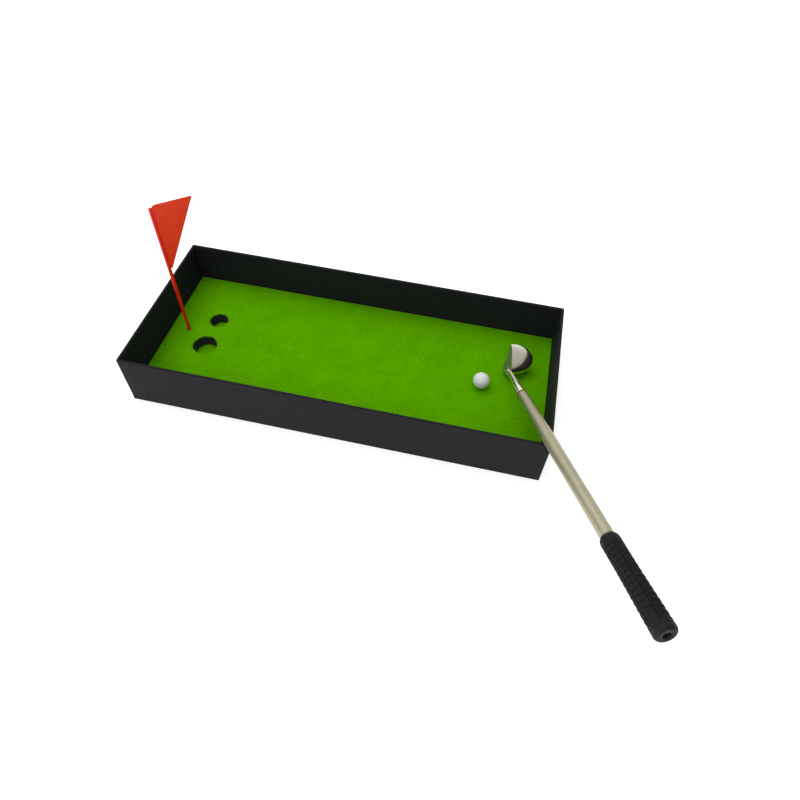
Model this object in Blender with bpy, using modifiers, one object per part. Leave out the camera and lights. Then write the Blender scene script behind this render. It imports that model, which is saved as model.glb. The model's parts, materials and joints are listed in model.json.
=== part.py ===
"""Desk-top putting set: a paper-covered tray with a felt green on a foam bed, two cups, a pull-out flag,
a ball, and a club-shaped twist ballpoint pen that rests with its head on the green and its shaft on the rim.

Frame: origin at the centre of the tray's underside, +X along the tray towards the pen, +Y away from the
pen's grip, +Z up.  Metres.
"""

import math

import bmesh
import bpy
from mathutils import Matrix, Vector

# ---- tray ------------------------------------------------------------------
tray_length = 0.1780
tray_width = 0.0766
tray_height = 0.0249
board_thickness = 0.0007
paper_thickness = 0.00015
stay_thickness = 0.0001
layer_gap = 0.00005
corner_radius = 0.00042
stay_reach = 0.009
stay_margin = 0.002
board_joint_gap = 0.0001
wrap_foot_gap = 0.0001

# ---- green -----------------------------------------------------------------
under_felt_thickness = 0.0004
foam_thickness = 0.0037
felt_thickness = 0.00085
bed_clearance = 0.00015
cup_centre = (-0.0681, -0.0061)
cup_radius = 0.0056
small_cup_centre = (-0.0679, 0.0101)
small_cup_radius = 0.0044
felt_hole_margin = 0.0001

# ---- flag ------------------------------------------------------------------
flag_place = (-0.0793, 0.0016)
flag_pole_radius = 0.00075
flag_pole_top = 0.0722
flag_pole_clearance = 0.0001
flag_heading = math.radians(40)
flag_lean = math.radians(0.5)
pennant_reach = 0.0164
pennant_bottom = 0.0424
pennant_rise = 0.0011
pennant_corner = 0.0012
pennant_thickness = 0.0004
pennant_root = 0.0004
pennant_slot_clearance = 0.0001
pennant_foot_reach = 0.0014

# ---- ball ------------------------------------------------------------------
ball_radius = 0.0036
ball_place = (0.0585, 0.0003)
contact_gap = 0.0001

# ---- club pen: lengths run along the shaft from the ferrule's middle --------
rest_gap = 0.0003
foot_place = (0.0698, 0.0051)
head_gap = 0.0002
rim_crossing_x = 0.08695
head_roll = math.radians(170)

hosel_length = 0.0172
hosel_foot_radius = 0.00115
hosel_flare_radius = 0.0014
hosel_flare_length = 0.0026
spigot_radius = 0.00155
spigot_length = 0.008
ferrule_length = 0.0007
fit_clearance = 0.0001
end_gap = 0.0002

shaft_length = 0.0806
shaft_foot_radius = 0.00215
shaft_radius = 0.002475
shaft_taper_length = 0.033
shaft_wall = 0.0004

lie_angle = math.radians(57)
face_loft = math.radians(10)
head_length = 0.0142
head_depth = 0.0110
head_height = 0.0078
head_squareness = 4
head_toe_offset = 0.0063
sole_rise = math.radians(31)
sole_rise_start = 0.005
head_setback = 0.0013
head_drop = 0.0006
head_edge = 0.0004

# ---- twist mechanism -------------------------------------------------------
housing_start = 0.042
housing_length = 0.026
housing_wall = 0.0003
rotor_wall = 0.00025
rotor_start_offset = 0.002
rotor_neck_engagement = 0.006
carrier_start_offset = 0.006
carrier_length = 0.0035
drive_pin_radius = 0.0003
refill_stroke = 0.005
twist_travel = math.radians(180)
slot_clearance = 0.0001
refill_peg_length = 0.002

# ---- refill ----------------------------------------------------------------
refill_radius = 0.0011
refill_wall = 0.0003
refill_tip_length = 0.0095
refill_tip_radius = 0.00035
tip_setback = 0.0015
refill_clearance = 0.0002

# ---- grip ------------------------------------------------------------------
grip_length = 0.0362
grip_lap = 0.0005
grip_shoulder = 0.003
grip_collar_radius = 0.00265
grip_front_radius = 0.00333
grip_butt_radius = 0.0036
neck_length = 0.0105
core_radius = 0.00243
cap_length = 0.0056
cap_edge = 0.0012
cap_wall = 0.003

round_steps = 32
fine_steps = 24

# ---- places worked out from the dimensions above ---------------------------
wall = 2 * paper_thickness + board_thickness + 3 * layer_gap + stay_thickness
board_inset = paper_thickness + 2 * layer_gap + stay_thickness
board_top = tray_height - paper_thickness - layer_gap
floor_bottom = paper_thickness + layer_gap
floor_top = floor_bottom + board_thickness
under_felt_bottom = floor_top + layer_gap
foam_bottom = under_felt_bottom + under_felt_thickness + layer_gap
felt_bottom = foam_bottom + foam_thickness + layer_gap
felt_top = felt_bottom + felt_thickness
bed_length = tray_length - 2 * (wall + bed_clearance)
bed_width = tray_width - 2 * (wall + bed_clearance)

ferrule_half = ferrule_length / 2
shaft_start = ferrule_half + fit_clearance
shaft_end = shaft_start + shaft_length
shaft_bore = shaft_radius - shaft_wall
housing_radius = shaft_bore - fit_clearance
housing_bore = housing_radius - housing_wall
rotor_radius = housing_bore - fit_clearance
rotor_bore = rotor_radius - rotor_wall
carrier_radius = rotor_bore - fit_clearance
housing_end = housing_start + housing_length
rotor_start = housing_start + rotor_start_offset
carrier_start = rotor_start + carrier_start_offset
pin_place = carrier_start + carrier_length / 2
core_shoulder = shaft_end + end_gap
neck_start = shaft_end - neck_length
rotor_end = neck_start + rotor_neck_engagement
grip_start = shaft_end - grip_lap
butt_end = grip_start + grip_length
cap_start = butt_end - cap_length
refill_start = carrier_start + carrier_length + fit_clearance
refill_tip_end = butt_end - tip_setback
refill_tip_start = refill_tip_end - refill_tip_length
core_bore = refill_radius + refill_clearance
core_end = cap_start + cap_length - cap_wall - end_gap


def solve_pen_pose(head_points):
    """Place and turn of the pen: its head stands just clear of the felt and its shaft lies on the rim."""
    rim_y = -tray_width / 2 + wall
    across = Vector((rim_crossing_x - foot_place[0], rim_y - foot_place[1]))
    heading = math.atan2(across.y, across.x)
    foot_z = felt_top
    for _ in range(20):
        climb = tray_height - foot_z
        reach = math.hypot(across.length, climb)
        slope = math.atan2(climb, across.length) + math.asin((shaft_radius + rest_gap) / reach)
        turn = Matrix.Rotation(heading, 4, "Z") @ Matrix.Rotation(math.pi / 2 - slope, 4, "Y")
        turn = turn @ Matrix.Rotation(head_roll, 4, "Z")
        ferrule_place = Vector((*foot_place, foot_z)) + turn @ Vector((0, 0, hosel_length))
        pose = Matrix.Translation(ferrule_place) @ turn
        foot_z += felt_top + head_gap - min((pose @ point).z for point in head_points)
    return pose


# ---- scene helpers ---------------------------------------------------------
def clear_scene():
    for item in list(bpy.data.objects):
        bpy.data.objects.remove(item, do_unlink=True)


def make_collection(name):
    group = bpy.data.collections.new(name)
    bpy.context.scene.collection.children.link(group)
    return group


clear_scene()
set_group = make_collection("desk_putting_set")
cutter_group = make_collection("cutters")
materials = {}


def material(name, colour, roughness, metallic=0.0):
    if name not in materials:
        made = bpy.data.materials.new(name)
        made.use_nodes = True
        shader = made.node_tree.nodes["Principled BSDF"]
        shader.inputs["Base Color"].default_value = (*colour, 1.0)
        shader.inputs["Roughness"].default_value = roughness
        shader.inputs["Metallic"].default_value = metallic
        materials[name] = made
    return materials[name]


def greyboard():
    return material("greyboard", (0.30, 0.27, 0.23), 0.9)


def black_paper():
    return material("black_paper", (0.035, 0.036, 0.04), 0.75)


def kraft_tape():
    return material("kraft_tape", (0.38, 0.25, 0.13), 0.8)


def green_felt():
    return material("green_felt", (0.075, 0.30, 0.005), 0.95)


def black_foam():
    return material("black_foam", (0.01, 0.012, 0.012), 0.9)


def red_plastic():
    return material("red_plastic", (0.55, 0.03, 0.01), 0.4)


def white_plastic():
    return material("white_plastic", (0.8, 0.8, 0.82), 0.35)


def satin_nickel():
    return material("satin_nickel", (0.62, 0.58, 0.50), 0.28, 1.0)


def champagne_metal():
    return material("champagne_metal", (0.47, 0.43, 0.32), 0.35, 1.0)


def black_rubber():
    return material("black_rubber", (0.022, 0.023, 0.028), 0.6)


def red_ring():
    return material("red_ring", (0.35, 0.02, 0.02), 0.35)


def white_nylon():
    return material("white_nylon", (0.75, 0.75, 0.70), 0.5)


def brass():
    return material("brass", (0.75, 0.55, 0.22), 0.3, 1.0)


def add_object(name, mesh, finish, parent=None, group=None):
    made = bpy.data.objects.new(name, mesh)
    (group or set_group).objects.link(made)
    if finish:
        mesh.materials.append(finish)
    made.parent = parent
    return made


def mesh_from(work, name):
    mesh = bpy.data.meshes.new(name)
    work.to_mesh(mesh)
    work.free()
    return mesh


def smooth_round(piece):
    piece.data.shade_smooth()
    piece.data.set_sharp_from_angle(angle=math.radians(35))


def box(name, low, high, finish=None, parent=None, group=None):
    """A block between two corners, with its origin at its own centre."""
    low, high = Vector(low), Vector(high)
    work = bmesh.new()
    bmesh.ops.create_cube(work, size=1.0)
    bmesh.ops.scale(work, vec=high - low, verts=work.verts)
    made = add_object(name, mesh_from(work, name), finish, parent, group)
    made.location = (low + high) / 2
    return made


def cylinder(name, radius, low, high, centre, steps=round_steps, finish=None, parent=None, group=None):
    """A round bar along Z from low to high."""
    work = bmesh.new()
    bmesh.ops.create_cone(
        work, cap_ends=True, segments=steps, radius1=radius, radius2=radius, depth=high - low
    )
    made = add_object(name, mesh_from(work, name), finish, parent, group)
    made.location = (centre[0], centre[1], (low + high) / 2)
    smooth_round(made)
    return made


def turned(name, profile, finish, parent=None, steps=round_steps, ring=False, group=None):
    """A shape turned about Z: the profile's (radius, height) points run down the outer side."""
    mesh = bpy.data.meshes.new(name)
    points = [(radius, 0.0, height) for radius, height in profile]
    edges = [(i, i + 1) for i in range(len(points) - 1)]
    if ring:
        edges.append((len(points) - 1, 0))
    mesh.from_pydata(points, edges, [])
    made = add_object(name, mesh, finish, parent, group)
    turn = made.modifiers.new("turn", "SCREW")
    turn.steps = steps
    turn.render_steps = steps
    turn.use_merge_vertices = True
    turn.merge_threshold = 0.00001
    turn.use_normal_calculate = False
    return made


def tube(name, outer, inner, low, high, finish, parent=None, steps=round_steps, group=None):
    """A plain tube along Z."""
    profile = [(outer, high), (outer, low), (inner, low), (inner, high)]
    return turned(name, profile, finish, parent, steps, True, group)


def combine(target, tool, operation):
    step = target.modifiers.new(operation.lower(), "BOOLEAN")
    step.operation = operation
    step.solver = "EXACT"
    step.object = tool
    tool.hide_render = True
    tool.display_type = "WIRE"


def cut(target, tool):
    combine(target, tool, "DIFFERENCE")


def join(target, tool):
    combine(target, tool, "UNION")


def round_edges(target, width, segments=2, angle=math.radians(40)):
    bevel = target.modifiers.new("round", "BEVEL")
    bevel.width = width
    bevel.segments = segments
    bevel.limit_method = "ANGLE"
    bevel.angle_limit = angle


def round_upright_edges(target, width, segments=3):
    """Rounds a block's four vertical edges in its own mesh."""
    work = bmesh.new()
    work.from_mesh(target.data)
    upright = [e for e in work.edges if abs(e.verts[0].co.z - e.verts[1].co.z) > 1e-6]
    bmesh.ops.bevel(
        work, geom=upright, offset=width, segments=segments, affect="EDGES", profile=0.5
    )
    work.to_mesh(target.data)
    work.free()


# ---- tray ------------------------------------------------------------------
def block_in_tray(name, inset, low, high, radius=0.0, group=None, finish=None):
    """A block over the tray's footprint, drawn in by inset, with rounded upright edges."""
    half_x = tray_length / 2 - inset
    half_y = tray_width / 2 - inset
    made = box(name, (-half_x, -half_y, low), (half_x, half_y, high), finish, group=group)
    if radius > 0:
        round_upright_edges(made, radius)
    return made


def make_boards():
    """The base board and four wall boards, which the corner stays hold together."""
    half_x = tray_length / 2 - board_inset
    half_y = tray_width / 2 - board_inset
    finish = greyboard()
    floor_x = tray_length / 2 - wall - layer_gap
    floor_y = tray_width / 2 - wall - layer_gap
    box("floor_board", (-floor_x, -floor_y, floor_bottom), (floor_x, floor_y, floor_top), finish)
    foot = floor_bottom
    short = half_y - board_thickness - board_joint_gap
    sides = {
        "front_wall_board": ((-half_x, -half_y), (half_x, -half_y + board_thickness)),
        "rear_wall_board": ((-half_x, half_y - board_thickness), (half_x, half_y)),
        "left_wall_board": ((-half_x, -short), (-half_x + board_thickness, short)),
        "right_wall_board": ((half_x - board_thickness, -short), (half_x, short)),
    }
    for name, (low, high) in sides.items():
        box(name, (*low, foot), (*high, board_top), finish)


def make_corner_stays():
    """A strip of tape folded round each corner, outside the boards."""
    inset = paper_thickness + layer_gap + stay_thickness / 2
    half_x = tray_length / 2
    half_y = tray_width / 2
    low = floor_bottom + stay_margin
    high = board_top - stay_margin
    turns = [math.radians(a) for a in (90, 60, 30, 0)]
    bend = corner_radius - inset
    corners = {
        "front_left_corner_stay": (-1, -1),
        "front_right_corner_stay": (1, -1),
        "rear_left_corner_stay": (-1, 1),
        "rear_right_corner_stay": (1, 1),
    }
    for name, (side_x, side_y) in corners.items():
        path = [(half_x - stay_reach, half_y - inset)]
        for turn in turns:
            x = half_x - corner_radius + bend * math.cos(turn)
            y = half_y - corner_radius + bend * math.sin(turn)
            path.append((x, y))
        path.append((half_x - inset, half_y - stay_reach))
        work = bmesh.new()
        rows = [
            [work.verts.new((side_x * x, side_y * y, z)) for x, y in path] for z in (low, high)
        ]
        for i in range(len(path) - 1):
            work.faces.new((rows[0][i], rows[0][i + 1], rows[1][i + 1], rows[1][i]))
        stay = add_object(name, mesh_from(work, name), kraft_tape())
        skin = stay.modifiers.new("thickness", "SOLIDIFY")
        skin.thickness = stay_thickness
        skin.offset = 0
        skin.use_even_offset = True


def make_wrap():
    """The covering paper: up the outside of the walls, over the rim and down the inside, and the base sheet."""
    half_x = tray_length / 2
    half_y = tray_width / 2
    base = box(
        "base_sheet", (-half_x, -half_y, 0), (half_x, half_y, paper_thickness), black_paper()
    )
    round_upright_edges(base, corner_radius)
    low = paper_thickness + wrap_foot_gap
    wrap = block_in_tray("outer_wrap", 0, low, tray_height, corner_radius, finish=black_paper())
    under = low - board_thickness
    slot = block_in_tray(
        "board_slot_cut",
        paper_thickness,
        under,
        tray_height - paper_thickness,
        corner_radius - paper_thickness,
        cutter_group,
    )
    lining = block_in_tray(
        "lining_core_cut", wall - paper_thickness, under - wall, tray_height + wall, 0, cutter_group
    )
    cut(slot, lining)
    hollow = block_in_tray(
        "tray_hollow_cut", wall, under - wall, tray_height + wall, 0, cutter_group
    )
    cut(wrap, slot)
    cut(wrap, hollow)


# ---- green -----------------------------------------------------------------
def hole(target, name, radius, centre, low, high):
    tool = cylinder(name, radius, low, high, centre, group=cutter_group)
    cut(target, tool)


def make_green():
    """The felt seen at the bottom of the cups, the foam bed and the felt that the ball rolls on."""
    half_x = bed_length / 2
    half_y = bed_width / 2
    over = felt_thickness
    box(
        "under_felt",
        (-half_x, -half_y, under_felt_bottom),
        (half_x, half_y, under_felt_bottom + under_felt_thickness),
        green_felt(),
    )
    layers = {
        "foam_bed": (foam_bottom, foam_bottom + foam_thickness, 0.0, black_foam()),
        "top_felt": (felt_bottom, felt_top, felt_hole_margin, green_felt()),
    }
    pole_hole = flag_pole_radius + flag_pole_clearance
    for name, (low, high, margin, finish) in layers.items():
        layer = box(name, (-half_x, -half_y, low), (half_x, half_y, high), finish)
        span = (low - over, high + over)
        hole(layer, name + "_cup_cut", cup_radius + margin, cup_centre, *span)
        hole(layer, name + "_small_cup_cut", small_cup_radius + margin, small_cup_centre, *span)
        hole(layer, name + "_pole_cut", pole_hole, flag_place, *span)


# ---- flag ------------------------------------------------------------------
def make_flag():
    """A red pole with a slot down its upper part, and the pennant that is glued in the slot."""
    axis = bpy.data.objects.new("flag_axis", None)
    set_group.objects.link(axis)
    axis.location = (*flag_place, 0)
    lean = Matrix.Rotation(flag_lean, 3, "Y") @ Matrix.Rotation(flag_heading, 3, "Z")
    axis.rotation_euler = lean.to_euler()
    pole_foot = foam_bottom + layer_gap
    pole = cylinder(
        "flag_pole", flag_pole_radius, pole_foot, flag_pole_top, (0, 0), 20, red_plastic(), axis
    )
    slot_half = pennant_thickness / 2 + pennant_slot_clearance
    root = flag_pole_radius - pennant_root
    slot = box(
        "pennant_slot_cut",
        (root - pennant_slot_clearance, -slot_half, pennant_bottom - pennant_slot_clearance),
        (2 * flag_pole_radius, slot_half, flag_pole_top + pennant_rise),
        parent=axis,
        group=cutter_group,
    )
    cut(pole, slot)
    top = flag_pole_top + pennant_rise
    outline = [
        (root, pennant_bottom),
        (pennant_foot_reach, pennant_bottom),
        (pennant_reach, top - pennant_thickness),
        (pennant_reach, top),
        (root + pennant_corner, top),
        (root, top - pennant_corner),
    ]
    curve = bpy.data.curves.new("flag_pennant", "CURVE")
    curve.dimensions = "2D"
    curve.fill_mode = "BOTH"
    curve.extrude = pennant_thickness / 2
    edge = curve.splines.new("POLY")
    edge.points.add(len(outline) - 1)
    for point, (x, z) in zip(edge.points, outline):
        point.co = (x, z, 0, 1)
    edge.use_cyclic_u = True
    pennant = bpy.data.objects.new("flag_pennant", curve)
    curve.materials.append(red_plastic())
    set_group.objects.link(pennant)
    pennant.parent = axis
    pennant.rotation_euler = (math.pi / 2, 0, 0)


# ---- ball ------------------------------------------------------------------
def make_ball():
    work = bmesh.new()
    bmesh.ops.create_uvsphere(work, u_segments=24, v_segments=14, radius=ball_radius)
    ball = add_object("ball", mesh_from(work, "ball"), white_plastic())
    ball.location = (*ball_place, felt_top + contact_gap + ball_radius)
    ball.data.shade_smooth()


# ---- club head -------------------------------------------------------------
def make_club_head(pen):
    """Squared-off dome with a flat lofted face, and a hosel that ends in a spigot for the shaft."""
    toe = Vector((math.sin(lie_angle), 0, -math.cos(lie_angle)))
    crown = Vector((math.cos(lie_angle), 0, math.sin(lie_angle)))
    face = Vector((0, 1, 0))
    work = bmesh.new()
    bmesh.ops.create_uvsphere(work, u_segments=28, v_segments=18, radius=1.0)
    half_height = head_height / 2
    for vert in work.verts:
        flat = math.hypot(vert.co.x, vert.co.y)
        grow = (flat**head_squareness + abs(vert.co.z) ** head_squareness) ** (-1 / head_squareness)
        vert.co *= grow
    bmesh.ops.scale(work, vec=(head_length / 2, head_depth, half_height), verts=work.verts)
    flats = (
        ((0, 0, half_height), (0, math.cos(face_loft), math.sin(face_loft))),
        ((-sole_rise_start, 0, -half_height), (math.sin(sole_rise), 0, -math.cos(sole_rise))),
    )
    for point, away in flats:
        every = work.verts[:] + work.edges[:] + work.faces[:]
        bmesh.ops.bisect_plane(
            work, geom=every, dist=1e-7, plane_co=point, plane_no=away, clear_outer=True
        )
        rim = [e for e in work.edges if e.is_boundary]
        bmesh.ops.edgeloop_fill(work, edges=rim)
    bmesh.ops.recalc_face_normals(work, faces=work.faces)
    head = add_object("club_head", mesh_from(work, "club_head"), satin_nickel(), pen)
    foot = Vector((0, 0, -hosel_length))
    centre = foot + toe * head_toe_offset - face * head_setback - crown * (head_drop + half_height)
    frame = Matrix((toe, face, crown)).transposed().to_4x4()
    head.matrix_local = Matrix.Translation(centre) @ frame
    head_points = [head.matrix_basis @ vert.co for vert in head.data.vertices]
    smooth_round(head)
    round_edges(head, head_edge)
    flare_end = -hosel_length - hosel_flare_length
    hosel_profile = [
        (0, spigot_length),
        (spigot_radius, spigot_length),
        (spigot_radius, -ferrule_half),
        (hosel_foot_radius, -hosel_length),
        (hosel_flare_radius, flare_end),
        (0.7 * hosel_flare_radius, flare_end - 0.7 * hosel_flare_radius),
        (0, flare_end - hosel_flare_radius),
    ]
    hosel = turned("hosel_join", hosel_profile, None, pen, fine_steps, group=cutter_group)
    join(head, hosel)
    return head_points


def make_ferrule(pen):
    """The thin coloured ring between the hosel and the shaft."""
    bore = spigot_radius + fit_clearance
    tube("ferrule_ring", shaft_foot_radius, bore, -ferrule_half, ferrule_half, red_ring(), pen)


# ---- shaft -----------------------------------------------------------------
def make_shaft(pen):
    """The drawn metal tube: it flares from the ferrule and then runs straight to the grip."""
    flare_end = shaft_start + shaft_taper_length
    profile = [
        (shaft_radius, shaft_end),
        (shaft_radius, flare_end),
        (shaft_foot_radius, shaft_start),
        (shaft_foot_radius - shaft_wall, shaft_start),
        (shaft_bore, flare_end),
        (shaft_bore, shaft_end),
    ]
    turned("shaft_tube", profile, champagne_metal(), pen, ring=True)


# ---- twist mechanism -------------------------------------------------------
def helix_cutter(pen):
    """A round bar along the half turn that the drive pin makes, for the slot in the housing."""
    bar = drive_pin_radius + slot_clearance
    middle = (housing_radius + housing_bore) / 2
    past = 1.2 * bar / math.hypot(middle * twist_travel, refill_stroke)
    count = 18
    curve = bpy.data.curves.new("helix_slot_cut", "CURVE")
    curve.dimensions = "3D"
    curve.bevel_depth = bar + housing_wall / 2
    curve.bevel_resolution = 2
    curve.use_fill_caps = True
    line = curve.splines.new("POLY")
    line.points.add(count)
    for i, point in enumerate(line.points):
        share = -past + (1 + 2 * past) * i / count
        turn = share * twist_travel
        rise = pin_place + share * refill_stroke
        point.co = (middle * math.cos(turn), middle * math.sin(turn), rise, 1)
    made = bpy.data.objects.new("helix_slot_curve", curve)
    cutter_group.objects.link(made)
    bpy.context.view_layer.update()
    ready = made.evaluated_get(bpy.context.evaluated_depsgraph_get())
    mesh = bpy.data.meshes.new_from_object(ready)
    work = bmesh.new()
    work.from_mesh(mesh)
    bmesh.ops.remove_doubles(work, verts=work.verts, dist=1e-7)
    bmesh.ops.recalc_face_normals(work, faces=work.faces)
    work.to_mesh(mesh)
    work.free()
    solid = add_object("helix_slot_cut", mesh, None, pen, cutter_group)
    bpy.data.objects.remove(made)
    return solid


def make_mechanism(pen):
    """Fixed cam housing, rotor that turns with the grip, and the carrier whose pin runs in both."""
    housing = tube(
        "cam_housing", housing_radius, housing_bore, housing_start, housing_end, white_nylon(), pen
    )
    cut(housing, helix_cutter(pen))
    rotor = tube(
        "rotor_tube", rotor_radius, rotor_bore, rotor_start, rotor_end, brass(), pen, fine_steps
    )
    half = drive_pin_radius + slot_clearance
    slot = box(
        "rotor_slot_cut",
        (0, -half, pin_place - half),
        (2 * rotor_radius, half, pin_place + refill_stroke + half),
        parent=pen,
        group=cutter_group,
    )
    cut(rotor, slot)
    carrier_end = carrier_start + carrier_length
    peg = refill_radius - refill_wall - fit_clearance
    profile = [
        (0, carrier_end + refill_peg_length),
        (peg, carrier_end + refill_peg_length),
        (peg, carrier_end),
        (carrier_radius, carrier_end),
        (carrier_radius, carrier_start),
        (0, carrier_start),
    ]
    carrier = turned("refill_carrier", profile, white_nylon(), pen, fine_steps)
    pin_end = housing_radius - fit_clearance
    pin_length = pin_end - carrier_radius / 2
    pin = cylinder(
        "drive_pin_join", drive_pin_radius, 0, pin_length, (0, 0), 12, None, pen, cutter_group
    )
    pin.location = (pin_end - pin_length / 2, 0, pin_place)
    pin.rotation_euler = (0, math.pi / 2, 0)
    join(carrier, pin)


def make_refill(pen):
    """The ink tube and the tip that comes out of the butt when the grip is turned."""
    bore = refill_radius - refill_wall
    tube_end = refill_tip_start - fit_clearance
    tube(
        "refill_tube", refill_radius, bore, refill_start, tube_end, white_nylon(), pen, fine_steps
    )
    peg = bore - fit_clearance
    cone_start = refill_tip_end - 0.6 * refill_tip_length
    profile = [
        (0, refill_tip_end),
        (refill_tip_radius, refill_tip_end),
        (refill_radius, cone_start),
        (refill_radius, refill_tip_start),
        (peg, refill_tip_start),
        (peg, refill_tip_start - refill_peg_length),
        (0, refill_tip_start - refill_peg_length),
    ]
    turned("refill_tip", profile, brass(), pen, fine_steps)


# ---- grip ------------------------------------------------------------------
def make_grip(pen):
    """Core with a neck that turns in the shaft, the rubber sleeve on it and the cap at the butt."""
    neck_outer = shaft_bore - fit_clearance
    neck_bore = rotor_radius + fit_clearance
    rotor_stop = rotor_end + end_gap
    core = [
        (core_radius, core_end),
        (core_radius, core_shoulder),
        (neck_outer, core_shoulder),
        (neck_outer, neck_start),
        (neck_bore, neck_start),
        (neck_bore, rotor_stop),
        (core_bore, rotor_stop),
        (core_bore, core_end),
    ]
    turned("grip_core", core, brass(), pen, ring=True)
    bore = shaft_radius + fit_clearance
    sleeve_end = cap_start - end_gap
    swell = grip_front_radius - grip_collar_radius
    shoulder = [
        (
            grip_collar_radius + swell * math.cos(turn),
            grip_start + grip_shoulder * (1 - math.sin(turn)),
        )
        for turn in (math.radians(a) for a in (0, 22.5, 45, 67.5, 90))
    ]
    sleeve = [(grip_butt_radius, sleeve_end)] + shoulder + [(bore, grip_start), (bore, sleeve_end)]
    turned("rubber_grip", sleeve, black_rubber(), pen, ring=True)
    socket_end = butt_end - cap_wall
    edge = [
        (
            grip_butt_radius - cap_edge + cap_edge * math.cos(turn),
            butt_end - cap_edge + cap_edge * math.sin(turn),
        )
        for turn in (math.radians(a) for a in (90, 67.5, 45, 22.5, 0))
    ]
    cap = (
        [(core_bore, butt_end)]
        + edge
        + [(grip_butt_radius, cap_start), (bore, cap_start), (bore, socket_end), (core_bore, socket_end)]
    )
    turned("grip_end_cap", cap, black_rubber(), pen, ring=True)


def make_pen():
    pen = bpy.data.objects.new("pen_axis", None)
    set_group.objects.link(pen)
    pen.matrix_world = solve_pen_pose(make_club_head(pen))
    make_ferrule(pen)
    make_shaft(pen)
    make_mechanism(pen)
    make_refill(pen)
    make_grip(pen)


make_boards()
make_corner_stays()
make_wrap()
make_green()
make_flag()
make_ball()
make_pen()
bpy.context.view_layer.update()
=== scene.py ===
import json
import math
import random

import bmesh
import bpy
from mathutils import Matrix, Vector, noise


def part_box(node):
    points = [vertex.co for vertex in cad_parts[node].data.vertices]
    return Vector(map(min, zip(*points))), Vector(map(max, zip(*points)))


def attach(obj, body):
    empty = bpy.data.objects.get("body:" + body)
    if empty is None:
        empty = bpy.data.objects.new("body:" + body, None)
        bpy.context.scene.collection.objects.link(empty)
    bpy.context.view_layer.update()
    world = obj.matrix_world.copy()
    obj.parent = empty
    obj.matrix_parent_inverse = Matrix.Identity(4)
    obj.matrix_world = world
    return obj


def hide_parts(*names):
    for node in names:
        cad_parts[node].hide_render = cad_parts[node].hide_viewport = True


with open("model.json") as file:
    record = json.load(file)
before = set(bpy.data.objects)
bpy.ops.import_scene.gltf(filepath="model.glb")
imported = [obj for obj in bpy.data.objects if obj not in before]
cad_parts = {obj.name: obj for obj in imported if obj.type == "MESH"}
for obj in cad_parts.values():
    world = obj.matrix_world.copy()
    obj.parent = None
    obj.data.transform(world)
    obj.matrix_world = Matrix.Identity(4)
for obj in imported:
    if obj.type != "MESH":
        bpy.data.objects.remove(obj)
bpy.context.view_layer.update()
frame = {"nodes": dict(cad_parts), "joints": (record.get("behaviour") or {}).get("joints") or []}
nodes = frame["nodes"]
joints = {joint["name"]: joint for joint in frame["joints"]}
dice = random.Random(7)
print("frame loaded:", len(nodes), "nodes")

# every piece is made in the tray's own frame, in metres


def meshPiece(name, verts, faces, material, smooth=True):
    mesh = bpy.data.meshes.new(name)
    mesh.from_pydata(verts, [], faces)
    mesh.validate()
    piece = bpy.data.objects.new(name, mesh)
    bpy.context.scene.collection.objects.link(piece)
    mesh.materials.append(material)
    if smooth:
        mesh.shade_smooth()
    return piece


def bmeshPiece(name, work, material):
    mesh = bpy.data.meshes.new(name)
    bmesh.ops.recalc_face_normals(work, faces=work.faces)
    work.to_mesh(mesh)
    work.free()
    piece = bpy.data.objects.new(name, mesh)
    bpy.context.scene.collection.objects.link(piece)
    mesh.materials.append(material)
    mesh.shade_smooth()
    return piece


def lathe(name, profile, material, steps, place, closed=False):
    # profile: (radius, height) pairs down the outer side; points on the axis close the piece
    verts, faces, rows = [], [], []
    for radius, height in profile:
        if radius < 1e-7:
            rows.append([len(verts)] * steps)
            verts.append((0, 0, height))
        else:
            rows.append(list(range(len(verts), len(verts) + steps)))
            for i in range(steps):
                turn = 2 * math.pi * i / steps
                verts.append((radius * math.cos(turn), radius * math.sin(turn), height))
    pairs = list(zip(rows[:-1], rows[1:]))
    if closed:
        pairs.append((rows[-1], rows[0]))
    for top, low in pairs:
        for i in range(steps):
            j = (i + 1) % steps
            corners = list(dict.fromkeys((top[i], low[i], low[j], top[j])))
            if len(corners) > 2:
                faces.append(corners)
    piece = meshPiece(name, verts, faces, material)
    piece.data.set_sharp_from_angle(angle=math.radians(35))
    piece.matrix_world = place
    return piece


def roundedPath(halfX, halfY, radius, cornerSteps, sideSteps):
    # points round a rectangle with rounded corners, starting at the +X side's middle
    points = []
    corners = ((1, 1, 0), (-1, 1, 90), (-1, -1, 180), (1, -1, 270))
    for sideX, sideY, start in corners:
        for i in range(cornerSteps + 1):
            turn = math.radians(start + 90 * i / cornerSteps)
            x = sideX * (halfX - radius) + radius * math.cos(turn)
            y = sideY * (halfY - radius) + radius * math.sin(turn)
            points.append((x, y))
    filled = []
    for i, point in enumerate(points):
        filled.append(point)
        after = points[(i + 1) % len(points)]
        if (i + 1) % (cornerSteps + 1) == 0:
            for k in range(1, sideSteps):
                share = k / sideSteps
                filled.append(
                    (point[0] + share * (after[0] - point[0]), point[1] + share * (after[1] - point[1]))
                )
    return filled


def skinRows(rows):
    faces = []
    count = len(rows[0])
    for one, other in zip(rows, rows[1:] + rows[:1]):
        for i in range(count):
            j = (i + 1) % count
            faces.append((one[i], one[j], other[j], other[i]))
    return faces


def addNode(tree, kind, **settings):
    node = tree.nodes.new(kind)
    for key, value in settings.items():
        if key.startswith("in_"):
            node.inputs[key[3:].replace("_", " ")].default_value = value
        else:
            setattr(node, key, value)
    return node


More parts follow.
